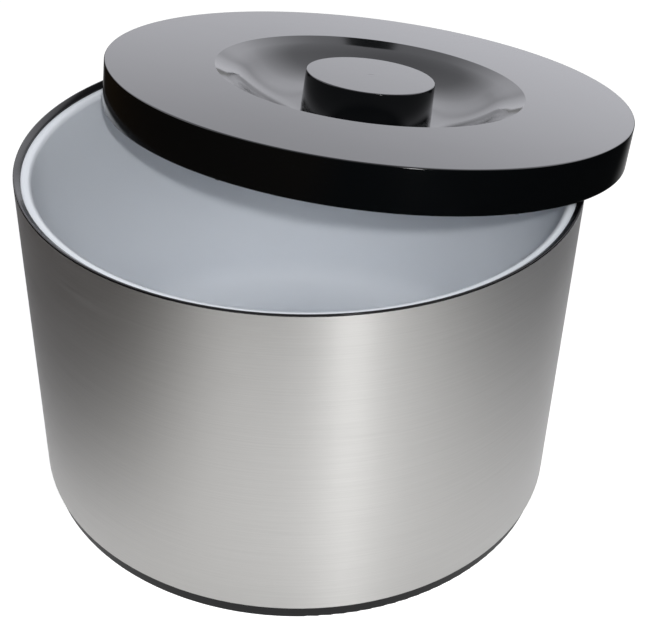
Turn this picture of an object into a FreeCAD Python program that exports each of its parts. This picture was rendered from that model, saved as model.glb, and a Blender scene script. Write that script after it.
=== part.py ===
"""Insulated ice bucket with its lid resting askew on the rim.

Millimetres, +Z up. The origin is the centre of the base's underside, on the bucket's axis.
The lid's pieces are drawn about the lid's own axis, from the skirt's lower edge up, and then
placed where the lid comes to rest on the rim.
"""
import FreeCAD, Part
import math
import os
import re
import Sketcher

# Driving dimensions
SIZES = {
    "bucket_diameter": 300.0,
    "sleeve_height": 183.0,
    "sleeve_sheet": 0.6,
    "seam_lap": 14.0,
    "foot_height": 9.0,
    "foot_inset": 2.2,
    "foot_edge": 1.0,
    "base_floor": 2.5,
    "base_wall": 2.5,
    "base_spigot": 10.0,
    "rim_cap": 1.0,
    "rim_width": 3.4,
    "rim_leg": 12.0,
    "rim_leg_wall": 2.2,
    "rim_ledge": 1.8,
    "rim_edge": 0.4,
    "liner_drop": 3.0,
    "lip_thickness": 2.2,
    "lip_edge": 1.0,
    "lip_width": 5.4,
    "liner_taper": 10.0,
    "liner_wall": 2.2,
    "liner_corner": 28.0,
    "liner_floor": 22.0,
    "foam_toe": 35.0,
    "lid_inset": 1.4,
    "lid_height": 23.7,
    "lid_wall": 2.2,
    "lid_edge": 1.4,
    "skirt_edge": 0.6,
    "dish_diameter": 176.0,
    "dish_depth": 19.6,
    "dish_edge": 22.0,
    "dish_margin": 0.5,
    "rib_count": 6,
    "rib_thickness": 2.0,
    "rib_reach": 9.0,
    "rib_drop": 1.2,
    "knob_diameter": 73.4,
    "knob_taper": 0.8,
    "knob_rise": 1.0,
    "knob_wall": 2.6,
    "knob_edge": 0.8,
    "knob_boss": 14.0,
    "gate_diameter": 3.0,
    "gate_depth": 0.4,
    "screw_diameter": 4.0,
    "screw_length": 14.0,
    "screw_head": 9.0,
    "screw_head_height": 2.2,
    "recess_width": 1.2,
    "recess_span": 5.0,
    "recess_depth": 1.3,
    "washer_diameter": 14.0,
    "washer_thickness": 1.0,
    "fit_gap": 0.05,
    "seat_gap": 0.3,
    "locating_gap": 0.6,
    "lid_slide": 68.5,
    "lid_bearing": 57.8,
}

# Heights and radii that follow from the driving dimensions
SLEEVE_RADIUS = "bucket_diameter / 2"
SLEEVE_INSIDE = "(bucket_diameter / 2 - sleeve_sheet)"
SLEEVE_TOP = "(foot_height + sleeve_height)"
RIM_TOP = "(foot_height + sleeve_height + rim_cap)"
RIM_BORE = "(bucket_diameter / 2 - rim_width)"
SPIGOT_RADIUS = f"({SLEEVE_INSIDE} - fit_gap)"
FOOT_RADIUS = "(bucket_diameter / 2 - foot_inset)"
LIP_TOP = f"({RIM_TOP} - liner_drop)"
LIP_UNDER = f"({LIP_TOP} - lip_thickness)"
MOUTH_RADIUS = f"({RIM_BORE} - lip_width)"
LINER_RADIUS = f"({MOUTH_RADIUS} - liner_taper)"
LINER_DRAFT = f"atan(liner_taper / ({LIP_TOP} - liner_floor))"
CORNER_HEIGHT = "(liner_floor + liner_corner)"
CORNER_RADIUS = (f"({LINER_RADIUS} + liner_corner * tan({LINER_DRAFT})"
                 f" - liner_corner / cos({LINER_DRAFT}))")
LINER_SKIN = "(liner_corner + liner_wall)"
FOAM_SKIN = "(liner_corner + liner_wall + seat_gap)"
FOAM_BASE = "(liner_floor - liner_wall - seat_gap)"
FOAM_TOP = f"({LIP_UNDER} - rim_ledge - seat_gap)"
LID_RADIUS = "(bucket_diameter / 2 - lid_inset)"
SKIRT_INSIDE = f"({LID_RADIUS} - lid_wall)"
KNOB_FOOT = "(knob_diameter / 2 + knob_taper)"
DISH_FLAT = f"({KNOB_FOOT} + dish_margin)"
DISH_SPAN = f"(dish_diameter / 2 - {DISH_FLAT})"
DISH_TURN = f"(2 * atan(dish_depth / {DISH_SPAN}))"
DISH_ROOT = f"({DISH_SPAN} / sin({DISH_TURN}) - dish_edge)"
DISH_FLOOR = "(lid_height - dish_depth)"
KNOB_TOP = "(lid_height + knob_rise)"
WASHER_UNDER = f"({DISH_FLOOR} - lid_wall - washer_thickness)"

doc = FreeCAD.newDocument("ice_bucket")
sheet = doc.addObject("Spreadsheet::Sheet", "sizes")
for row, (name, size) in enumerate(SIZES.items(), start=1):
    sheet.set(f"A{row}", name)
    sheet.set(f"B{row}", str(size))
    sheet.setAlias(f"B{row}", name)
doc.recompute()

SIZE_NAME = re.compile(r"\b(" + "|".join(sorted(SIZES, key=len, reverse=True)) + r")\b")


def bound(text):
    """The expression with each size's name pointed at its cell of the sheet."""
    return SIZE_NAME.sub(r"sizes.\1", text)


def amount(text):
    """The present value of an expression, in millimetres or degrees."""
    found = sheet.evalExpression(text)
    return float(getattr(found, "Value", found))


def new_body(label):
    """An empty body with its own label, which names its file."""
    body = doc.addObject("PartDesign::Body", label)
    body.Label = label
    return body


def sketch_on(body, name, role):
    """A sketch on one of the body's own origin planes."""
    sketch = body.newObject("Sketcher::SketchObject", name)
    plane = [part for part in body.Origin.OriginFeatures if part.Role == role][0]
    sketch.AttachmentSupport = [(plane, "")]
    sketch.MapMode = "FlatFace"
    return sketch


def pin_point(sketch, curve, end, across, up):
    """Hold one end of a curve at two expressions, or on an axis where an expression is 0."""
    for kind, text, axis in (("DistanceX", across, -2), ("DistanceY", up, -1)):
        if text == "0":
            sketch.addConstraint(Sketcher.Constraint("PointOnObject", curve, end, axis))
            continue
        index = sketch.addConstraint(
            Sketcher.Constraint(kind, -1, 1, curve, end, amount(text)))
        sketch.setExpression(f"Constraints[{index}]", bound(text))


def outline(sketch, corners):
    """Close a profile through corners of (across, up) or (across, up, centre, radius).

    The four-part corner starts an arc to the next corner, about the given centre.
    """
    places = [FreeCAD.Vector(amount(c[0]), amount(c[1]), 0) for c in corners]
    ends = []
    for index, corner in enumerate(corners):
        start = places[index]
        stop = places[(index + 1) % len(corners)]
        if len(corner) == 2:
            curve = sketch.addGeometry(Part.LineSegment(start, stop), False)
            ends.append((curve, 1, 2))
            continue
        centre = FreeCAD.Vector(amount(corner[2][0]), amount(corner[2][1]), 0)
        begin = math.atan2(start.y - centre.y, start.x - centre.x)
        finish = math.atan2(stop.y - centre.y, stop.x - centre.x)
        turns_left = (start - centre).cross(stop - centre).z > 0
        circle = Part.Circle(centre, FreeCAD.Vector(0, 0, 1), amount(corner[3]))
        if turns_left:
            curve = sketch.addGeometry(Part.ArcOfCircle(circle, begin, finish), False)
            ends.append((curve, 1, 2))
        else:
            curve = sketch.addGeometry(Part.ArcOfCircle(circle, finish, begin), False)
            ends.append((curve, 2, 1))
        held = sketch.addConstraint(Sketcher.Constraint("Radius", curve, amount(corner[3])))
        sketch.setExpression(f"Constraints[{held}]", bound(corner[3]))
    for index, (curve, first, last) in enumerate(ends):
        following = ends[(index + 1) % len(ends)]
        sketch.addConstraint(
            Sketcher.Constraint("Coincident", curve, last, following[0], following[1]))
        pin_point(sketch, curve, first, corners[index][0], corners[index][1])


def turned(body, name, corners, role="XZ_Plane"):
    """Revolve a half section about the body's Z axis."""
    sketch = sketch_on(body, name + "_section", role)
    outline(sketch, corners)
    feature = body.newObject("PartDesign::Revolution", name)
    feature.Profile = sketch
    feature.ReferenceAxis = (sketch, ["V_Axis"])
    feature.Angle = 360.0
    sketch.Visibility = False
    doc.recompute()
    return feature


def rounded(body, name, radius, places):
    """Fillet the round edges that lie at the given (radius, height) places."""
    wanted = [(amount(across), amount(up)) for across, up in places]
    before = body.Tip
    chosen = []
    for index, edge in enumerate(before.Shape.Edges, start=1):
        if not isinstance(edge.Curve, Part.Circle):
            continue
        found = (edge.Curve.Radius, edge.Curve.Center.z)
        if any(math.dist(found, place) < 1e-3 for place in wanted):
            chosen.append(f"Edge{index}")
    feature = body.newObject("PartDesign::Fillet", name)
    feature.Base = (before, chosen)
    feature.setExpression("Radius", bound(radius))
    doc.recompute()
    return feature


def make_base_pan():
    """Moulded pan: a foot that stands on the table and a spigot inside the sleeve."""
    body = new_body("base_pan")
    inside = f"{FOOT_RADIUS} - base_wall"
    spigot_top = "foot_height + base_spigot"
    turned(body, "pan", [
        ("0", "0"),
        (FOOT_RADIUS, "0"),
        (FOOT_RADIUS, "foot_height"),
        (SPIGOT_RADIUS, "foot_height"),
        (SPIGOT_RADIUS, spigot_top),
        (inside, spigot_top),
        (inside, "base_floor"),
        ("0", "base_floor"),
    ])
    rounded(body, "foot_round", "foot_edge", [(FOOT_RADIUS, "0")])
    return body


def make_outer_sleeve():
    """Aluminium sheet rolled into a tube, with its ends lapped at the back."""
    body = new_body("outer_sleeve")
    turned(body, "tube", [
        (SLEEVE_INSIDE, "foot_height"),
        (SLEEVE_RADIUS, "foot_height"),
        (SLEEVE_RADIUS, SLEEVE_TOP),
        (SLEEVE_INSIDE, SLEEVE_TOP),
    ])
    outside = "bucket_diameter / 2 + sleeve_sheet"
    lap = turned(body, "lap", [
        (SLEEVE_RADIUS, "foot_height"),
        (outside, "foot_height"),
        (outside, SLEEVE_TOP),
        (SLEEVE_RADIUS, SLEEVE_TOP),
    ], role="YZ_Plane")
    lap.Midplane = True
    lap.setExpression("Angle", bound("seam_lap / (bucket_diameter / 2) * 180 / pi"))
    doc.recompute()
    return body


def make_rim_ring():
    """Moulded ring that caps the sleeve's edge and carries the liner's lip on a ledge."""
    body = new_body("rim_ring")
    leg_inside = f"({SPIGOT_RADIUS} - rim_leg_wall)"
    leg_foot = f"({SLEEVE_TOP} - rim_leg)"
    ledge_bore = f"{MOUTH_RADIUS} + liner_wall + 2 * seat_gap"
    turned(body, "ring", [
        (RIM_BORE, RIM_TOP),
        (SLEEVE_RADIUS, RIM_TOP),
        (SLEEVE_RADIUS, SLEEVE_TOP),
        (SPIGOT_RADIUS, SLEEVE_TOP),
        (SPIGOT_RADIUS, leg_foot),
        (leg_inside, leg_foot),
        (leg_inside, f"{LIP_UNDER} - rim_ledge"),
        (ledge_bore, f"{LIP_UNDER} - rim_ledge"),
        (ledge_bore, LIP_UNDER),
        (RIM_BORE, LIP_UNDER),
    ])
    rounded(body, "rim_round", "rim_edge", [(RIM_BORE, RIM_TOP), (SLEEVE_RADIUS, RIM_TOP)])
    return body


def make_inner_liner():
    """Moulded tub with a tapered wall, a wide floor corner and a lip on the ring's ledge."""
    body = new_body("inner_liner")
    draft = LINER_DRAFT
    centre = (CORNER_RADIUS, CORNER_HEIGHT)
    lip_edge = f"({RIM_BORE} - fit_gap)"
    outside = (f"{LINER_RADIUS} + ({LIP_UNDER} - liner_floor) * tan({draft})"
               f" + liner_wall / cos({draft})")
    turned(body, "tub", [
        ("0", "liner_floor"),
        (CORNER_RADIUS, "liner_floor", centre, "liner_corner"),
        (f"{CORNER_RADIUS} + liner_corner * cos({draft})",
         f"{CORNER_HEIGHT} - liner_corner * sin({draft})"),
        (MOUTH_RADIUS, LIP_TOP),
        (lip_edge, LIP_TOP),
        (lip_edge, LIP_UNDER),
        (outside, LIP_UNDER),
        (f"{CORNER_RADIUS} + {LINER_SKIN} * cos({draft})",
         f"{CORNER_HEIGHT} - {LINER_SKIN} * sin({draft})", centre, LINER_SKIN),
        (CORNER_RADIUS, "liner_floor - liner_wall"),
        ("0", "liner_floor - liner_wall"),
    ])
    rounded(body, "lip_round", "lip_edge", [(MOUTH_RADIUS, LIP_TOP), (lip_edge, LIP_TOP)])
    return body


def make_wall_insulation():
    """Foam sleeve that fills the room between the liner and the aluminium."""
    body = new_body("wall_insulation")
    draft = LINER_DRAFT
    centre = (CORNER_RADIUS, CORNER_HEIGHT)
    outside = f"({SLEEVE_INSIDE} - seat_gap)"
    neck = f"({SPIGOT_RADIUS} - rim_leg_wall - seat_gap)"
    shoulder = f"{SLEEVE_TOP} - rim_leg - seat_gap"
    toe = f"{CORNER_RADIUS} + {FOAM_SKIN} * sin(foam_toe * 1 deg)"
    inside = (f"{LINER_RADIUS} + ({FOAM_TOP} - liner_floor) * tan({draft})"
              f" + (liner_wall + seat_gap) / cos({draft})")
    turned(body, "foam", [
        (toe, FOAM_BASE),
        (toe, f"{CORNER_HEIGHT} - {FOAM_SKIN} * cos(foam_toe * 1 deg)", centre, FOAM_SKIN),
        (f"{CORNER_RADIUS} + {FOAM_SKIN} * cos({draft})",
         f"{CORNER_HEIGHT} - {FOAM_SKIN} * sin({draft})"),
        (inside, FOAM_TOP),
        (neck, FOAM_TOP),
        (neck, shoulder),
        (outside, shoulder),
        (outside, FOAM_BASE),
    ])
    return body


def make_floor_insulation():
    """Foam disc between the pan and the liner's floor."""
    body = new_body("floor_insulation")
    edge = f"{FOOT_RADIUS} - base_wall - seat_gap"
    turned(body, "foam", [
        ("0", "base_floor + seat_gap"),
        (edge, "base_floor + seat_gap"),
        (edge, FOAM_BASE),
        ("0", FOAM_BASE),
    ])
    return body


def make_lid_cover():
    """Moulded lid: flat top, skirt, and a finger dish whose wall is two tangent arcs."""
    body = new_body("lid_cover")
    rim = "dish_diameter / 2"
    crest = (rim, "lid_height - dish_edge")
    root = (DISH_FLAT, f"{DISH_FLOOR} + {DISH_ROOT}")
    under_edge = "(dish_edge - lid_wall)"
    under_root = f"({DISH_ROOT} + lid_wall)"
    hole = "(screw_diameter / 2 + seat_gap)"
    turned(body, "shell", [
        (hole, DISH_FLOOR),
        (DISH_FLAT, DISH_FLOOR, root, DISH_ROOT),
        (f"{rim} - dish_edge * sin({DISH_TURN})",
         f"lid_height - dish_edge + dish_edge * cos({DISH_TURN})", crest, "dish_edge"),
        (rim, "lid_height"),
        (LID_RADIUS, "lid_height"),
        (LID_RADIUS, "0"),
        (SKIRT_INSIDE, "0"),
        (SKIRT_INSIDE, "lid_height - lid_wall"),
        (rim, "lid_height - lid_wall", crest, under_edge),
        (f"{rim} - {under_edge} * sin({DISH_TURN})",
         f"lid_height - dish_edge + {under_edge} * cos({DISH_TURN})", root, under_root),
        (DISH_FLAT, f"{DISH_FLOOR} - lid_wall"),
        (hole, f"{DISH_FLOOR} - lid_wall"),
    ])
    rounded(body, "top_round", "lid_edge", [(LID_RADIUS, "lid_height")])
    rounded(body, "skirt_round", "skirt_edge", [(LID_RADIUS, "0"), (SKIRT_INSIDE, "0")])
    add_locating_ribs(body)
    return body


def add_locating_ribs(body):
    """Webs inside the skirt whose toes drop into the rim and keep the closed lid central."""
    inner = f"{SKIRT_INSIDE} - rib_reach"
    buried = f"{LID_RADIUS} - lid_wall / 2"
    guide = f"{RIM_BORE} - locating_gap"
    step = "rib_thickness / 2"
    sketch = sketch_on(body, "rib_side", "XZ_Plane")
    outline(sketch, [
        (inner, "lid_height - lid_wall / 2"),
        (buried, "lid_height - lid_wall / 2"),
        (buried, step),
        (guide, step),
        (guide, "-rib_drop"),
        (inner, "-rib_drop"),
    ])
    rib = body.newObject("PartDesign::Pad", "rib")
    rib.Profile = sketch
    rib.SideType = "Symmetric"
    rib.setExpression("Length", bound("rib_thickness"))
    doc.recompute()
    ring = body.newObject("PartDesign::PolarPattern", "rib_ring")
    ring.Originals = [rib]
    ring.Axis = (sketch, ["V_Axis"])
    ring.Angle = 360.0
    ring.setExpression("Occurrences", bound("rib_count"))
    body.Tip = ring
    doc.recompute()


def make_lid_knob():
    """Hollow moulded knob that stands in the dish, with a boss for its screw."""
    body = new_body("lid_knob")
    top = "knob_diameter / 2"
    gate = "gate_diameter / 2"
    pilot = "(screw_diameter / 2 + fit_gap)"
    pilot_end = f"{WASHER_UNDER} + screw_length + fit_gap"
    roof = f"{KNOB_TOP} - knob_wall"
    turned(body, "cup", [
        ("0", f"{KNOB_TOP} - gate_depth"),
        (gate, f"{KNOB_TOP} - gate_depth"),
        (gate, KNOB_TOP),
        (top, KNOB_TOP),
        (KNOB_FOOT, DISH_FLOOR),
        (f"{KNOB_FOOT} - knob_wall", DISH_FLOOR),
        (f"{top} - knob_wall", roof),
        ("knob_boss / 2", roof),
        ("knob_boss / 2", DISH_FLOOR),
        (pilot, DISH_FLOOR),
        (pilot, pilot_end),
        ("0", pilot_end),
    ])
    rounded(body, "top_round", "knob_edge", [(top, KNOB_TOP)])
    return body


def make_knob_washer():
    """Flat washer between the dish's underside and the screw's head."""
    body = new_body("knob_washer")
    bore = "screw_diameter / 2 + seat_gap"
    turned(body, "washer", [
        (bore, WASHER_UNDER),
        ("washer_diameter / 2", WASHER_UNDER),
        ("washer_diameter / 2", f"{WASHER_UNDER} + washer_thickness"),
        (bore, f"{WASHER_UNDER} + washer_thickness"),
    ])
    return body


def make_knob_screw():
    """Screw from below into the knob's boss, with a cross recess in its head."""
    body = new_body("knob_screw")
    head_face = f"({WASHER_UNDER} - screw_head_height)"
    turned(body, "screw", [
        ("0", head_face),
        ("screw_head / 2", head_face),
        ("screw_head / 2", WASHER_UNDER),
        ("screw_diameter / 2", WASHER_UNDER),
        ("screw_diameter / 2", f"{WASHER_UNDER} + screw_length"),
        ("0", f"{WASHER_UNDER} + screw_length"),
    ])
    solid_before = body.Shape.Volume
    half = "recess_width / 2"
    tip = "recess_span / 2"
    sketch = sketch_on(body, "cross", "XY_Plane")
    sketch.setExpression("AttachmentOffset.Base.z", bound(head_face))
    outline(sketch, [
        (tip, f"-{half}"), (tip, half), (half, half), (half, tip), (f"-{half}", tip),
        (f"-{half}", half), (f"-{tip}", half), (f"-{tip}", f"-{half}"),
        (f"-{half}", f"-{half}"), (f"-{half}", f"-{tip}"), (half, f"-{tip}"), (half, f"-{half}"),
    ])
    recess = body.newObject("PartDesign::Pocket", "recess")
    recess.Profile = sketch
    recess.Reversed = True
    recess.setExpression("Length", bound("recess_depth"))
    doc.recompute()
    if body.Shape.Volume >= solid_before:
        raise RuntimeError("the cross recess cuts nothing")
    return body


def underside_profile():
    """A function that gives the lid's underside height at a radius inside the skirt."""
    top = amount("lid_height")
    floor = amount(DISH_FLOOR)
    wall = amount("lid_wall")
    rim = amount("dish_diameter / 2")
    foot = amount(DISH_FLAT)
    edge = amount("dish_edge")
    root = amount(DISH_ROOT)
    bend = rim - (edge - wall) * math.sin(math.radians(amount(DISH_TURN)))

    def height(radius):
        if radius >= rim:
            return top - wall
        if radius >= bend:
            return top - edge + math.sqrt((edge - wall) ** 2 - (rim - radius) ** 2)
        if radius >= foot:
            return floor + root - math.sqrt((root + wall) ** 2 - (radius - foot) ** 2)
        return floor - wall

    return height


def skirt_profile():
    """A function that gives the height of the skirt's rounded lower edge at a radius."""
    inside = amount(SKIRT_INSIDE)
    outside = amount(LID_RADIUS)
    edge = amount("skirt_edge")

    def height(radius):
        from_face = max(0.0, min(radius - inside, outside - radius))
        if from_face >= edge:
            return 0.0
        return edge - math.sqrt(edge ** 2 - (edge - from_face) ** 2)

    return height


def open_edge(steps=6):
    """Places on the bucket's open edge that the lid can meet, as (radius, height) pairs.

    They are the ring's outer and inner top edges, then the rounding of the liner's lip.
    Heights are over the rim's top.
    """
    edge = amount("lip_edge")
    across = amount(MOUTH_RADIUS) + edge
    up = amount(f"{LIP_TOP} - {RIM_TOP}") - edge
    places = [(amount(SLEEVE_RADIUS), 0.0), (amount(RIM_BORE), 0.0)]
    for step in range(steps + 1):
        turn = math.pi / 2 * step / steps
        places.append((across - edge * math.cos(turn), up + edge * math.sin(turn)))
    return places


def seen_from_lid(place, slide, tilt, lift, steps=720):
    """A round edge of the bucket as (radius, height) pairs about the tilted lid's own axis.

    lift is the rim's height over the lid's centre, and the list runs half way round, from
    the side that the lid has slid to.
    """
    radius, height = place
    seen = []
    for step in range(steps + 1):
        turn = math.pi * step / steps
        along = radius * math.cos(turn) - slide
        across = along * math.cos(tilt) - (lift + height) * math.sin(tilt)
        up = along * math.sin(tilt) + (lift + height) * math.cos(tilt)
        seen.append((math.hypot(across, radius * math.sin(turn)), up))
    return seen


def rest_of_lid():
    """Tilt and height at which the slid lid comes to rest on the bucket at three places.

    The skirt's lower edge crosses the rim at two places, and the far side of the lid tips
    down until the dish's underside meets the open edge. All three stay seat_gap away.
    """
    gap = amount("seat_gap")
    slide = amount("lid_slide")
    inside = amount(SKIRT_INSIDE) - gap
    outside = amount(LID_RADIUS)
    underside = underside_profile()
    skirt = skirt_profile()
    places = open_edge()
    low, high = 0.0, math.radians(30)
    lift = 0.0
    for _ in range(25):
        tilt = (low + high) / 2
        for _ in range(6):
            seen = seen_from_lid(places[0], slide, tilt, lift)
            over = max(up - skirt(out) for out, up in seen if inside <= out <= outside)
            lift -= (over + gap) / math.cos(tilt)
        clear = min(
            underside(out) - up
            for place in places
            for out, up in seen_from_lid(place, slide, tilt, lift)
            if out < inside
        )
        if clear > gap:
            low = tilt
        else:
            high = tilt
    return tilt, lift


lid_tilt, lid_lift = rest_of_lid()
bearing = amount("lid_bearing")
lid_pose = FreeCAD.Placement(
    FreeCAD.Vector(
        amount("lid_slide") * math.cos(math.radians(bearing)),
        amount("lid_slide") * math.sin(math.radians(bearing)),
        amount(RIM_TOP) - lid_lift,
    ),
    FreeCAD.Rotation(FreeCAD.Vector(0, 0, 1), bearing)
    * FreeCAD.Rotation(FreeCAD.Vector(0, 1, 0), math.degrees(lid_tilt)),
)

bucket_pieces = [
    make_base_pan(),
    make_outer_sleeve(),
    make_rim_ring(),
    make_inner_liner(),
    make_wall_insulation(),
    make_floor_insulation(),
]
lid_pieces = [
    make_lid_cover(),
    make_lid_knob(),
    make_knob_washer(),
    make_knob_screw(),
]
for piece in lid_pieces:
    piece.Placement = lid_pose
doc.recompute()

for item in doc.Objects:
    if "Invalid" in item.State or "Error" in item.State:
        raise RuntimeError(f"{item.Name} failed: {item.State}")
os.makedirs("parts", exist_ok=True)
for piece in bucket_pieces + lid_pieces:
    if piece.Shape.isNull() or not piece.Shape.isValid():
        raise RuntimeError(f"{piece.Label} has no valid shape")
    if len(piece.Shape.Solids) != 1:
        raise RuntimeError(f"{piece.Label} is not one solid")
    piece.Shape.exportStep(f"parts/{piece.Label}.step")
print(f"lid tilt {math.degrees(lid_tilt):.2f} deg, rim {lid_lift:.2f} mm over its centre")
print("pieces", len(bucket_pieces + lid_pieces))
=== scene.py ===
"""Looks of an insulated ice bucket that stands open, with its lid laid askew on the rim."""

import math

import bmesh
import bpy
import numpy as np
from mathutils import Matrix


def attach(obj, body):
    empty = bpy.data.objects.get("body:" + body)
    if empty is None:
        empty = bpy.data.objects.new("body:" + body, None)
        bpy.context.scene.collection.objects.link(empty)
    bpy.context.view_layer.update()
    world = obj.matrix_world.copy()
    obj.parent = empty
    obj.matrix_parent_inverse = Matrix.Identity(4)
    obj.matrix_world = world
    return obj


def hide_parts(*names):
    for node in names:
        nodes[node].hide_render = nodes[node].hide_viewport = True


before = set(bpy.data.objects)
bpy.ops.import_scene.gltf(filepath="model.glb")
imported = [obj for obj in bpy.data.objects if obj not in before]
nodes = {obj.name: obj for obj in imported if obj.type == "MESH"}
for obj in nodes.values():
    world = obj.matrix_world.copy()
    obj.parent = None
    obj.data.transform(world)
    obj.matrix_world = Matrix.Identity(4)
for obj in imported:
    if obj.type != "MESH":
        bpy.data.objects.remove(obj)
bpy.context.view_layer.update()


# Outer sleeve
# Aluminium sheet, rolled round and lapped at the back. It is brushed round the circumference
# and left bare, so what it mirrors smears into upright bands and the grain lies level.

def linear(hex_colour):
    """An sRGB hex colour as the linear RGBA that a colour socket takes."""
    channels = [int(hex_colour[i:i + 2], 16) / 255 for i in (1, 3, 5)]
    curved = [c / 12.92 if c <= 0.04045 else ((c + 0.055) / 1.055) ** 2.4 for c in channels]
    return (*curved, 1.0)


def node(tree, kind, inputs=(), **settings):
    """Add a node, set its properties, and give each input a value or the socket that feeds it."""
    made = tree.nodes.new(kind)
    for name, value in settings.items():
        setattr(made, name, value)
    for name, value in dict(inputs).items():
        if isinstance(value, bpy.types.NodeSocket):
            tree.links.new(value, made.inputs[name])
        else:
            made.inputs[name].default_value = value
    return made


def new_finish(name):
    """A material with an empty node tree, as (material, tree)."""
    material = bpy.data.materials.new(name)
    material.use_nodes = True
    material.node_tree.nodes.clear()
    return material, material.node_tree


def dress(node_name, material):
    """Put a finish on a CAD node."""
    for slot in nodes[node_name].material_slots:
        slot.material = material


BRUSH_STROKE = 0.045    # length of a brush mark round the sleeve, in metres
BRUSH_PITCH = 0.0006    # marks are under 0.1 mm apart; drawn coarser so that they show
BRUSH_DEPTH = 0.00003

brushed_aluminium, tree = new_finish("brushed_aluminium_sheet")
place = node(tree, "ShaderNodeTexCoord")
strokes = node(tree, "ShaderNodeMapping", {
    "Vector": place.outputs["Object"],
    "Scale": (1 / BRUSH_STROKE, 1 / BRUSH_STROKE, 1 / BRUSH_PITCH),
})
grain = node(tree, "ShaderNodeTexNoise", {
    "Vector": strokes.outputs["Vector"],
    "Scale": 1.0,
    "Detail": 3.0,
    "Roughness": 0.6,
})
tone = node(tree, "ShaderNodeValToRGB", {"Fac": grain.outputs["Fac"]})
tone.color_ramp.elements[0].position = 0.3
tone.color_ramp.elements[0].color = linear("#cbcac8")
tone.color_ramp.elements[1].position = 0.7
tone.color_ramp.elements[1].color = linear("#d3d2d0")
gloss = node(tree, "ShaderNodeMapRange", {
    "Value": grain.outputs["Fac"],
    "From Min": 0.3,
    "From Max": 0.7,
    "To Min": 0.4,
    "To Max": 0.47,
})
relief = node(tree, "ShaderNodeBump", {
    "Height": grain.outputs["Fac"],
    "Strength": 0.3,
    "Distance": BRUSH_DEPTH,
})
round_the_sleeve = node(tree, "ShaderNodeTangent", direction_type="RADIAL", axis="Z")
metal = node(tree, "ShaderNodeBsdfPrincipled", {
    "Base Color": tone.outputs["Color"],
    "Metallic": 1.0,
    "Roughness": gloss.outputs["Result"],
    "Anisotropic": 0.75,
    "Anisotropic Rotation": 0.25,
    "Tangent": round_the_sleeve.outputs["Tangent"],
    "Normal": relief.outputs["Normal"],
})
node(tree, "ShaderNodeOutputMaterial", {"Surface": metal.outputs["BSDF"]})
dress("outer_sleeve", brushed_aluminium)


# Base pan
# A black polypropylene moulding with a satin skin, which shows as a soft grey gleam along its
# rounded edge.

SATIN_GRAIN = 0.0012

satin_black, tree = new_finish("satin_black_polypropylene")
place = node(tree, "ShaderNodeTexCoord")
skin = node(tree, "ShaderNodeTexNoise", {
    "Vector": place.outputs["Object"],
    "Scale": 1 / SATIN_GRAIN,
    "Detail": 2.0,
})
relief = node(tree, "ShaderNodeBump", {
    "Height": skin.outputs["Fac"],
    "Strength": 0.2,
    "Distance": 0.00004,
})
plastic = node(tree, "ShaderNodeBsdfPrincipled", {
    "Base Color": linear("#060608"),
    "Roughness": 0.28,
    "IOR": 1.49,
    "Specular IOR Level": 0.3,
    "Normal": relief.outputs["Normal"],
})
node(tree, "ShaderNodeOutputMaterial", {"Surface": plastic.outputs["BSDF"]})
dress("base_pan", satin_black)


# Rim ring
# A black moulding pressed into the sleeve's open edge. Its polished face is a narrow crest over
# the sleeve that falls inward to the liner's lip, so it mirrors the lid above it.

ARC_STEPS = 20          # points on each rounded corner
TURN_STEPS = 240        # points round the axis
LONG_SIDE = 3.0         # sides longer than this, in mm, get a point near either end
NEAR_END = 0.15         # mm from that end
SHARP = math.radians(30)    # edges that turn more than this are drawn sharp


def rounded_outline(corners):
    """A closed outline in mm, from rows of radius, height and rounding.

    Each corner becomes an arc that touches both its sides: its centre lies on the line that
    halves their angle, and its points swing evenly from one side to the other. A long side
    gets a point near either end, so that the shading of its flat ends there.
    """
    corners = np.array(corners, float)
    here = corners[:, :2]
    before = np.roll(here, 1, axis=0) - here
    after = np.roll(here, -1, axis=0) - here
    before /= np.linalg.norm(before, axis=1, keepdims=True)
    after /= np.linalg.norm(after, axis=1, keepdims=True)
    half = np.arccos((before * after).sum(axis=1)) / 2
    swing = (math.pi - 2 * half)[:, None, None]
    reach = (corners[:, 2] / np.tan(half))[:, None]
    halving = before + after
    halving /= np.linalg.norm(halving, axis=1, keepdims=True)
    centre = here + halving * (corners[:, 2] / np.sin(half))[:, None]
    share = np.linspace(0, 1, ARC_STEPS)[None, :, None]
    from_first = (here + before * reach - centre)[:, None] * np.sin((1 - share) * swing)
    from_last = (here + after * reach - centre)[:, None] * np.sin(share * swing)
    points = (centre[:, None] + (from_first + from_last) / np.sin(swing)).reshape(-1, 2)
    apart = np.linalg.norm(points - np.roll(points, 1, axis=0), axis=1) > 1e-6
    points = points[apart]
    side = np.roll(points, -1, axis=0) - points
    length = np.linalg.norm(side, axis=1, keepdims=True)
    inset = side / length * NEAR_END
    trios = np.stack([points, points + inset, points + side - inset], axis=1)
    kept = np.ones(trios.shape[:2], bool)
    kept[length[:, 0] < LONG_SIDE, 1:] = False
    return trios[kept]


def turned(outline):
    """Points and faces of a solid of revolution: (r, h) goes to (r cos t, r sin t, h)."""
    turn = np.linspace(0, 2 * math.pi, TURN_STEPS, endpoint=False)
    radius = outline[:, :1]
    height = np.repeat(outline[:, 1:], TURN_STEPS, axis=1)
    points = np.stack([radius * np.cos(turn), radius * np.sin(turn), height], axis=-1)
    row, column = np.indices(height.shape)
    next_row = (row + 1) % len(outline)
    next_column = (column + 1) % TURN_STEPS
    faces = np.stack([
        row * TURN_STEPS + column,
        next_row * TURN_STEPS + column,
        next_row * TURN_STEPS + next_column,
        row * TURN_STEPS + next_column,
    ], axis=-1)
    return points.reshape(-1, 3), faces.reshape(-1, 4).tolist()


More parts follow.
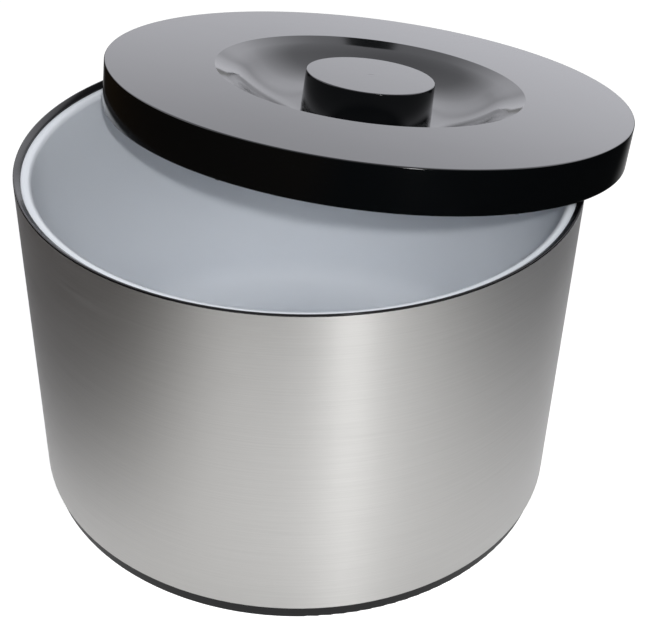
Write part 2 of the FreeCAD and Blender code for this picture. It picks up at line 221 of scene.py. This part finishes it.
def moulding(name, points, faces, turn=np.eye(3), place=(0.0, 0.0, 0.0)):
    """A smooth piece from points in mm, turned and placed into the object's frame."""
    mesh = bpy.data.meshes.new(name)
    mesh.from_pydata(((points @ turn.T + place) / 1000).tolist(), [], faces)
    shape = bmesh.new()
    shape.from_mesh(mesh)
    bmesh.ops.remove_doubles(shape, verts=shape.verts, dist=1e-6)
    bmesh.ops.recalc_face_normals(shape, faces=shape.faces)
    shape.to_mesh(mesh)
    shape.free()
    mesh.polygons.foreach_set("use_smooth", [True] * len(mesh.polygons))
    mesh.set_sharp_from_angle(angle=SHARP)
    piece = bpy.data.objects.new(name, mesh)
    bpy.context.scene.collection.objects.link(piece)
    return piece


RING_OUTLINE = [
    (146.6, 191.0, 0.4),    # shoulder at the bore
    (149.1, 193.0, 0.4),    # crest
    (150.0, 193.0, 0.4),
    (150.0, 192.0, 0.0),    # on the sleeve's edge
    (149.35, 192.0, 0.0),
    (149.35, 180.0, 0.0),   # leg inside the sleeve
    (147.15, 180.0, 0.0),
    (147.15, 186.0, 0.0),
    (144.0, 186.0, 0.0),    # ledge under the liner's lip
    (144.0, 187.8, 0.0),
    (146.6, 187.8, 0.0),
]

RING_WAVE = 0.008       # width of the faint waves in its skin, in metres

polished_black, tree = new_finish("polished_black_polypropylene")
place = node(tree, "ShaderNodeTexCoord")
skin = node(tree, "ShaderNodeTexNoise", {
    "Vector": place.outputs["Object"],
    "Scale": 1 / RING_WAVE,
    "Detail": 2.0,
})
relief = node(tree, "ShaderNodeBump", {
    "Height": skin.outputs["Fac"],
    "Strength": 0.5,
    "Distance": 0.00003,
})
plastic = node(tree, "ShaderNodeBsdfPrincipled", {
    "Base Color": linear("#08080a"),
    "Roughness": 0.15,
    "IOR": 1.49,
    "Specular IOR Level": 0.3,
    "Normal": relief.outputs["Normal"],
})
node(tree, "ShaderNodeOutputMaterial", {"Surface": plastic.outputs["BSDF"]})

rim_moulding = moulding("rim_ring_moulding", *turned(rounded_outline(RING_OUTLINE)))
rim_moulding.data.materials.append(polished_black)
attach(rim_moulding, "bucket")
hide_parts("rim_ring")


# Inner liner
# Cool white ABS, smooth from a polished mould, with a soft gloss that shows the lid's dark
# underside faintly. Its mouth rolls softly over into the lip that the rim ring carries.

LINER_OUTLINE = [
    (0.0, 22.0, 0.0),
    (131.2, 22.0, 28.0),    # floor corner
    (141.2, 190.0, 3.2),    # mouth
    (146.55, 190.0, 0.3),   # lip
    (146.55, 187.8, 0.0),
    (143.27, 187.8, 0.0),
    (133.27, 19.8, 30.2),
    (0.0, 19.8, 0.0),
]

LINER_CLOUD = 0.06      # width of the faint patches in its white

white_abs, tree = new_finish("white_moulded_abs")
place = node(tree, "ShaderNodeTexCoord")
cloud = node(tree, "ShaderNodeTexNoise", {
    "Vector": place.outputs["Object"],
    "Scale": 1 / LINER_CLOUD,
    "Detail": 2.0,
})
tone = node(tree, "ShaderNodeValToRGB", {"Fac": cloud.outputs["Fac"]})
tone.color_ramp.elements[0].color = linear("#dadfe6")
tone.color_ramp.elements[1].color = linear("#dfe4eb")
plastic = node(tree, "ShaderNodeBsdfPrincipled", {
    "Base Color": tone.outputs["Color"],
    "Roughness": 0.35,
    "IOR": 1.5,
})
node(tree, "ShaderNodeOutputMaterial", {"Surface": plastic.outputs["BSDF"]})

liner_moulding = moulding("inner_liner_moulding", *turned(rounded_outline(LINER_OUTLINE)))
liner_moulding.data.materials.append(white_abs)
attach(liner_moulding, "bucket")
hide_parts("inner_liner")


# Wall and floor insulation
# Expanded foam between the liner and the sleeve, off-white and beaded. None of it shows on
# the finished bucket.

FOAM_BEAD = 0.0035

foam, tree = new_finish("expanded_polystyrene_foam")
place = node(tree, "ShaderNodeTexCoord")
beads = node(tree, "ShaderNodeTexVoronoi", {
    "Vector": place.outputs["Object"],
    "Scale": 1 / FOAM_BEAD,
})
relief = node(tree, "ShaderNodeBump", {
    "Height": beads.outputs["Distance"],
    "Strength": 0.6,
    "Distance": FOAM_BEAD / 6,
})
relief.invert = True
cells = node(tree, "ShaderNodeBsdfPrincipled", {
    "Base Color": linear("#e9e9e4"),
    "Roughness": 0.8,
    "Normal": relief.outputs["Normal"],
})
node(tree, "ShaderNodeOutputMaterial", {"Surface": cells.outputs["BSDF"]})
dress("wall_insulation", foam)
dress("floor_insulation", foam)


# Lid
# Black high-gloss ABS from a polished mould. The finger dish has a crisp edge, and six webs
# inside the skirt keep the closed lid central. A large moulding is faintly wavy, so straight
# reflections bend a little.

LID_SLIDE = 68.5                    # mm that the lid has slid back over the rim
LID_BEARING = math.radians(57.8)    # the way it has slid, from +X towards +Y
LID_TILT = math.radians(9.63)
LID_DROP = 4.34                     # mm from the rim's top down to the middle of its lower edge
RIM_TOP = 193.0
WEB_COUNT = 6
WEB_HALF = 1.0                      # half of a web's thickness in mm

LID_OUTLINE = [
    (2.3, 4.1, 0.0),        # screw hole, then the dish's floor
    (56.66, 4.1, 57.2),     # hollow of the dish's wall
    (77.5, 19.24, 38.0),    # its faint swell below the edge
    (88.0, 23.7, 0.5),      # crisp edge of the dish
    (148.6, 23.7, 0.8),
    (148.6, 0.0, 0.6),
    (146.4, 0.0, 0.6),
    (146.4, 21.5, 0.0),     # underside, at the wall's thickness
    (80.24, 21.5, 19.8),
    (59.08, 1.9, 53.8),
    (2.3, 1.9, 0.0),
]
WEB_OUTLINE = np.array([
    (137.4, 22.6), (147.5, 22.6), (147.5, 1.0), (146.0, 1.0), (146.0, -1.2), (137.4, -1.2),
])

LID_WAVE = 0.035

gloss_black, tree = new_finish("gloss_black_abs")
place = node(tree, "ShaderNodeTexCoord")
waves = node(tree, "ShaderNodeTexNoise", {
    "Vector": place.outputs["Object"],
    "Scale": 1 / LID_WAVE,
    "Detail": 1.0,
})
relief = node(tree, "ShaderNodeBump", {
    "Height": waves.outputs["Fac"],
    "Strength": 1.0,
    "Distance": 0.00003,
})
plastic = node(tree, "ShaderNodeBsdfPrincipled", {
    "Base Color": linear("#040506"),
    "Roughness": 0.1,
    "IOR": 1.56,
    "Normal": relief.outputs["Normal"],
})
node(tree, "ShaderNodeOutputMaterial", {"Surface": plastic.outputs["BSDF"]})

cosine, sine = math.cos(LID_BEARING), math.sin(LID_BEARING)
bear = np.array([(cosine, -sine, 0), (sine, cosine, 0), (0, 0, 1)])
cosine, sine = math.cos(LID_TILT), math.sin(LID_TILT)
lid_turn = bear @ np.array([(cosine, 0, sine), (0, 1, 0), (-sine, 0, cosine)])
lid_place = bear @ (LID_SLIDE, 0, 0) + (0, 0, RIM_TOP - LID_DROP)


def webs(first):
    """Points and faces of the webs: their side outline, pushed out both ways and turned."""
    turn = np.arange(WEB_COUNT)[:, None, None] * 2 * math.pi / WEB_COUNT
    radius = WEB_OUTLINE[None, None, :, 0]
    across = np.array([-WEB_HALF, WEB_HALF])[None, :, None]
    height = np.broadcast_to(WEB_OUTLINE[:, 1], (WEB_COUNT, 2, len(WEB_OUTLINE)))
    points = np.stack([
        radius * np.cos(turn) - across * np.sin(turn),
        radius * np.sin(turn) + across * np.cos(turn),
        height,
    ], axis=-1).reshape(-1, 3)
    corner = np.arange(len(WEB_OUTLINE))
    onward = np.roll(corner, -1)
    far = len(WEB_OUTLINE)
    sides = np.stack([corner, onward, onward + far, corner + far], axis=-1)
    starts = first + np.arange(WEB_COUNT) * 2 * far
    faces = (sides[None] + starts[:, None, None]).reshape(-1, 4).tolist()
    faces += (corner[None] + starts[:, None]).tolist()
    faces += (corner[None] + starts[:, None] + far).tolist()
    return points, faces


shell_points, shell_faces = turned(rounded_outline(LID_OUTLINE))
web_points, web_faces = webs(len(shell_points))
lid_moulding = moulding("lid_cover_moulding", np.concatenate([shell_points, web_points]),
                        shell_faces + web_faces, lid_turn, lid_place)
lid_moulding.data.materials.append(gloss_black)
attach(lid_moulding, "lid")
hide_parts("lid_cover")


# Knob
# A hollow moulding in the same gloss black, screwed on from below. The faint ring in the middle
# of its top is where the mould was filled.

KNOB_OUTLINE = [
    (0.0, 24.62, 0.0),
    (1.3, 24.62, 0.3),      # the filling mark
    (1.9, 24.7, 0.3),
    (36.7, 24.7, 0.7),
    (37.5, 4.1, 0.0),
    (34.9, 4.1, 0.0),
    (34.1, 22.1, 0.5),      # hollow
    (7.0, 22.1, 0.5),
    (7.0, 4.1, 0.0),        # boss for the screw
    (2.05, 4.1, 0.0),
    (2.05, 14.95, 0.0),
    (0.0, 14.95, 0.0),
]

knob_moulding = moulding("lid_knob_moulding", *turned(rounded_outline(KNOB_OUTLINE)),
                         lid_turn, lid_place)
knob_moulding.data.materials.append(gloss_black)
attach(knob_moulding, "lid")
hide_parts("lid_knob")


# Knob screw and washer
# Steel with bright zinc plating, turned and stamped, under the lid.

ZINC_SPANGLE = 0.0015

zinc, tree = new_finish("zinc_plated_steel")
place = node(tree, "ShaderNodeTexCoord")
spangle = node(tree, "ShaderNodeTexNoise", {
    "Vector": place.outputs["Object"],
    "Scale": 1 / ZINC_SPANGLE,
    "Detail": 2.0,
})
gloss = node(tree, "ShaderNodeMapRange", {
    "Value": spangle.outputs["Fac"],
    "To Min": 0.25,
    "To Max": 0.45,
})
metal = node(tree, "ShaderNodeBsdfPrincipled", {
    "Base Color": linear("#c9ccd0"),
    "Metallic": 1.0,
    "Roughness": gloss.outputs["Result"],
})
node(tree, "ShaderNodeOutputMaterial", {"Surface": metal.outputs["BSDF"]})
dress("knob_screw", zinc)
dress("knob_washer", zinc)


# Studio
# A white sheet lies under the object on a dim table. Its brightness is partly painted light: full in
# front and falling off to the sides and to a dimmer back, like lamplight on the floor. A pale tent
# stands behind and over it, which the black lid mirrors, and the rest of the room is dark. A small
# key lamp beside the camera casts the lid's shadow, a soft lamp fills it, and a strip gleams on
# metal.

FLOOR_HALF = 3.0
FLOOR_BACK = 4.0
# The sheet's fall to its sides and its dimmer back are painted light falloff on the floor, as well as
# the sheet's edge.
SHEET_FRONT = (-0.70, -0.38)        # where the sheet's brightness starts and is full, along Y
SHEET_SIDE = (0.40, 0.19)           # the same from its middle line to its sides
SHEET_MIDDLE = 0.06
SHEET_DIMS = (-0.32, 0.02)          # where it falls to its dimmer back, along Y
SHEET_BACK = 0.6
SHEET_SEEN = 0.62                   # a glow that keeps the sheet white in the picture
SHEET_MIRRORED = 0.34               # a glow that only the object's gloss shows
TABLE_BROWN = (-0.25, -0.60)        # where the table starts to turn brown and is, along X

# The tent and the room are seen by direction, so these are parts of a unit vector.
ROOM_LIGHT = 0.30                   # what the surroundings give dull surfaces
ROOM_BROWN = (-0.20, -0.65)         # where the dark room turns brown, along X
TENT_LIGHT = 2.0                    # what the tent gives surfaces that mirror it
TENT_TINT = (0.98, 0.985, 1.05)
TENT_LEVELS = (                     # height along Z and how bright the tent is there
    (0.0, 0.66), (0.12, 0.68), (0.155, 0.63), (0.18, 0.58), (0.28, 0.85), (0.40, 1.0),
    (0.55, 0.85), (0.70, 0.60),
)
TENT_RIGHT = (0.02, 0.30)           # where it grows brighter towards the right, along X
TENT_RIGHT_GAIN = 1.19
TENT_BEHIND = (-0.45, 0.0)          # where it starts and is full, along Y
TENT_ROOF = (0.45, 0.85)            # the same for its roof, along Z
ROOF_LEVEL = 0.35
TENT_MIDDLE = 0.15
SCREEN_SIDES = (0.35, 0.62)         # screens stand in front of it, this far off its middle
SCREEN_TOPS = (0.45, 0.20)          # and up to here along Z
TENT_OPENING = (0.13, 0.62, 0.77)   # a dark gap in the tent, which the back of the dish mirrors
OPENING_EDGE = (0.06, 0.075)

floor_mesh = bpy.data.meshes.new("floor")
floor_mesh.from_pydata(
    [(-FLOOR_HALF, -FLOOR_HALF, 0), (FLOOR_HALF, -FLOOR_HALF, 0),
     (FLOOR_HALF, FLOOR_BACK, 0), (-FLOOR_HALF, FLOOR_BACK, 0)],
    [], [(0, 1, 2, 3)])
floor = bpy.data.objects.new("floor", floor_mesh)
bpy.context.scene.collection.objects.link(floor)
paper, tree = new_finish("white_paper_with_painted_falloff_on_a_dim_table")
spot = node(tree, "ShaderNodeTexCoord")
centred = node(tree, "ShaderNodeMapping", {
    "Vector": spot.outputs["Object"],
    "Location": (-SHEET_MIDDLE, 0.0, 0.0),
})
axes = node(tree, "ShaderNodeSeparateXYZ", {"Vector": centred.outputs["Vector"]})
off_middle = node(tree, "ShaderNodeMath", {0: axes.outputs["X"]}, operation="ABSOLUTE")
# Painted light, in part: the sheet's brightness falls off towards its sides as lamplight on the floor
# does, besides marking its edge.
across = node(tree, "ShaderNodeMapRange", {
    "Value": off_middle.outputs["Value"],
    "From Min": SHEET_SIDE[0],
    "From Max": SHEET_SIDE[1],
}, interpolation_type="SMOOTHSTEP")
along = node(tree, "ShaderNodeMapRange", {
    "Value": axes.outputs["Y"],
    "From Min": SHEET_FRONT[0],
    "From Max": SHEET_FRONT[1],
}, interpolation_type="SMOOTHSTEP")
# Painted light: the sheet's brightness dims towards the back.
painted_dimming_towards_back = node(tree, "ShaderNodeMapRange", {
    "Value": axes.outputs["Y"],
    "From Min": SHEET_DIMS[0],
    "From Max": SHEET_DIMS[1],
    "To Min": 1.0,
    "To Max": SHEET_BACK,
}, interpolation_type="SMOOTHSTEP")
level = node(tree, "ShaderNodeMath", {
    0: along.outputs["Result"],
    1: painted_dimming_towards_back.outputs["Result"],
}, operation="MULTIPLY")
# The sheet's edge and its painted light falloff together set the paper's colour for all rays except
# camera rays, and the glow that only gloss shows.
sheet_edge_and_painted_falloff = node(tree, "ShaderNodeMath", {
    0: across.outputs["Result"],
    1: level.outputs["Value"],
}, operation="MULTIPLY")
path = node(tree, "ShaderNodeLightPath")
paper_shows = node(tree, "ShaderNodeMath", {
    0: sheet_edge_and_painted_falloff.outputs["Value"],
    1: path.outputs["Is Camera Ray"],
}, operation="MAXIMUM")
to_the_left = node(tree, "ShaderNodeMapRange", {
    "Value": axes.outputs["X"],
    "From Min": TABLE_BROWN[0],
    "From Max": TABLE_BROWN[1],
})
table = node(tree, "ShaderNodeMix", {
    "Factor": to_the_left.outputs["Result"],
    "A": linear("#1b1c1d"),
    "B": linear("#33291c"),
}, data_type="RGBA")
colour = node(tree, "ShaderNodeMix", {
    "Factor": paper_shows.outputs["Value"],
    "A": table.outputs["Result"],
    "B": linear("#e6e6e6"),
}, data_type="RGBA")
matt = node(tree, "ShaderNodeBsdfDiffuse", {"Color": colour.outputs["Result"]})
mirrored_sheet = node(tree, "ShaderNodeMath", {
    0: sheet_edge_and_painted_falloff.outputs["Value"],
    1: path.outputs["Is Glossy Ray"],
}, operation="MULTIPLY")
seen_paper = node(tree, "ShaderNodeMath", {
    0: path.outputs["Is Camera Ray"],
    1: SHEET_SEEN,
}, operation="MULTIPLY")
fill_level = node(tree, "ShaderNodeMath", {
    0: mirrored_sheet.outputs["Value"],
    1: SHEET_MIRRORED,
    2: seen_paper.outputs["Value"],
}, operation="MULTIPLY_ADD")
fill = node(tree, "ShaderNodeEmission", {
    "Color": linear("#ffffff"),
    "Strength": fill_level.outputs["Value"],
})
both = node(tree, "ShaderNodeAddShader", {0: matt.outputs["BSDF"], 1: fill.outputs["Emission"]})
node(tree, "ShaderNodeOutputMaterial", {"Surface": both.outputs["Shader"]})
floor_mesh.materials.append(paper)

world = bpy.data.worlds.new("studio")
world.use_nodes = True
bpy.context.scene.world = world
tree = world.node_tree
tree.nodes.clear()
toward = node(tree, "ShaderNodeTexCoord")
axes = node(tree, "ShaderNodeSeparateXYZ", {"Vector": toward.outputs["Generated"]})
tent = node(tree, "ShaderNodeValToRGB", {"Fac": axes.outputs["Z"]})
stops = tent.color_ramp.elements
stops.remove(stops[1])
for height, level in TENT_LEVELS:
    stop = stops.new(height) if height > 0 else stops[0]
    stop.color = (*(level * part for part in TENT_TINT), 1.0)
to_the_right = node(tree, "ShaderNodeMapRange", {
    "Value": axes.outputs["X"],
    "From Min": TENT_RIGHT[0],
    "From Max": TENT_RIGHT[1],
    "To Min": 1.0,
    "To Max": TENT_RIGHT_GAIN,
})
off_tent = node(tree, "ShaderNodeMath", {0: axes.outputs["X"], 1: TENT_MIDDLE}, operation="SUBTRACT")
off_either_way = node(tree, "ShaderNodeMath", {0: off_tent.outputs["Value"]}, operation="ABSOLUTE")
beside = node(tree, "ShaderNodeMapRange", {
    "Value": off_either_way.outputs["Value"],
    "From Min": SCREEN_SIDES[0],
    "From Max": SCREEN_SIDES[1],
}, interpolation_type="SMOOTHSTEP")
low = node(tree, "ShaderNodeMapRange", {
    "Value": axes.outputs["Z"],
    "From Min": SCREEN_TOPS[0],
    "From Max": SCREEN_TOPS[1],
}, interpolation_type="SMOOTHSTEP")
screened = node(tree, "ShaderNodeMath", {
    0: beside.outputs["Result"],
    1: low.outputs["Result"],
}, operation="MULTIPLY")
open_side = node(tree, "ShaderNodeMath", {0: 1.0, 1: screened.outputs["Value"]}, operation="SUBTRACT")
behind = node(tree, "ShaderNodeMapRange", {
    "Value": axes.outputs["Y"],
    "From Min": TENT_BEHIND[0],
    "From Max": TENT_BEHIND[1],
}, interpolation_type="SMOOTHSTEP")
behind_open = node(tree, "ShaderNodeMath", {
    0: behind.outputs["Result"],
    1: open_side.outputs["Value"],
}, operation="MULTIPLY")
overhead = node(tree, "ShaderNodeMapRange", {
    "Value": axes.outputs["Z"],
    "From Min": TENT_ROOF[0],
    "From Max": TENT_ROOF[1],
    "To Max": ROOF_LEVEL,
}, interpolation_type="SMOOTHSTEP")
tent_shows = node(tree, "ShaderNodeMath", {
    0: behind_open.outputs["Value"],
    1: overhead.outputs["Result"],
}, operation="MAXIMUM")
off_opening = node(tree, "ShaderNodeVectorMath", {
    0: toward.outputs["Generated"],
    1: TENT_OPENING,
}, operation="DISTANCE")
past_opening = node(tree, "ShaderNodeMapRange", {
    "Value": off_opening.outputs["Value"],
    "From Min": OPENING_EDGE[0],
    "From Max": OPENING_EDGE[1],
})
cloth_shows = node(tree, "ShaderNodeMath", {
    0: tent_shows.outputs["Value"],
    1: past_opening.outputs["Result"],
}, operation="MULTIPLY")
to_the_left = node(tree, "ShaderNodeMapRange", {
    "Value": axes.outputs["X"],
    "From Min": ROOM_BROWN[0],
    "From Max": ROOM_BROWN[1],
})
dim_room = node(tree, "ShaderNodeMix", {
    "Factor": to_the_left.outputs["Result"],
    "A": linear("#1d1f20"),
    "B": linear("#2c2821"),
}, data_type="RGBA")
mirrored = node(tree, "ShaderNodeMix", {
    "Factor": cloth_shows.outputs["Value"],
    "A": dim_room.outputs["Result"],
    "B": tent.outputs["Color"],
}, data_type="RGBA")
strength = node(tree, "ShaderNodeMath", {
    0: to_the_right.outputs["Result"],
    1: TENT_LIGHT,
}, operation="MULTIPLY")
tent_light = node(tree, "ShaderNodeBackground", {
    "Color": mirrored.outputs["Result"],
    "Strength": strength.outputs["Value"],
})
room_light = node(tree, "ShaderNodeBackground", {
    "Color": linear("#ffffff"),
    "Strength": ROOM_LIGHT,
})
path = node(tree, "ShaderNodeLightPath")
shiny = node(tree, "ShaderNodeMath", {
    0: path.outputs["Is Glossy Ray"],
    1: path.outputs["Is Transmission Ray"],
}, operation="MAXIMUM")
mixed = node(tree, "ShaderNodeMixShader", {
    "Fac": shiny.outputs["Value"],
    1: room_light.outputs["Background"],
    2: tent_light.outputs["Background"],
})
node(tree, "ShaderNodeOutputWorld", {"Surface": mixed.outputs["Shader"]})


def hang_lamp(name, size, power, distance, azimuth, height):
    """A rectangular lamp that shines at the rim from a distance and two angles in degrees."""
    azimuth = math.radians(azimuth)
    height = math.radians(height)
    light = bpy.data.lights.new(name, "AREA")
    light.shape = "RECTANGLE"
    light.size, light.size_y = size
    light.energy = power
    lamp = bpy.data.objects.new(name, light)
    bpy.context.scene.collection.objects.link(lamp)
    lamp.location = (
        distance * math.cos(height) * math.sin(azimuth),
        -distance * math.cos(height) * math.cos(azimuth),
        RIM_TOP / 1000 + distance * math.sin(height),
    )
    lamp.rotation_euler = (math.pi / 2 - height, 0, azimuth)
    lamp.visible_camera = False
    return lamp


key = hang_lamp("key", size=(0.015, 0.015), power=2.1, distance=0.734, azimuth=2.4, height=29.7)
key.visible_glossy = False
soft = hang_lamp("soft_fill", size=(3.4, 0.9), power=46.0, distance=2.2, azimuth=4.0, height=36.0)
soft.visible_glossy = False
strip = hang_lamp("strip", size=(0.16, 0.5), power=5.0, distance=1.6, azimuth=18.0, height=6.0)
strip.visible_diffuse = False


# Camera
# Its place and turn come from the ellipses of the sleeve's edges, the rim and the lid.

LENS = 68.76
SENSOR = 36.0
CAMERA_PLACE = (0.0, -0.592, 0.4972)
CAMERA_YAW = math.radians(1.46)
CAMERA_PITCH = math.radians(34.45)
CAMERA_ROLL = math.radians(1.75)

camera_data = bpy.data.cameras.new("camera")
camera_data.lens = LENS
camera_data.sensor_width = SENSOR
camera_data.clip_start = 0.05
camera = bpy.data.objects.new("camera", camera_data)
camera.matrix_world = (
    Matrix.Translation(CAMERA_PLACE)
    @ Matrix.Rotation(-CAMERA_YAW, 4, "Z")
    @ Matrix.Rotation(math.pi / 2 - CAMERA_PITCH, 4, "X")
    @ Matrix.Rotation(CAMERA_ROLL, 4, "Z")
)
bpy.context.scene.collection.objects.link(camera)
bpy.context.scene.camera = camera
bpy.context.scene.view_settings.view_transform = "Standard"
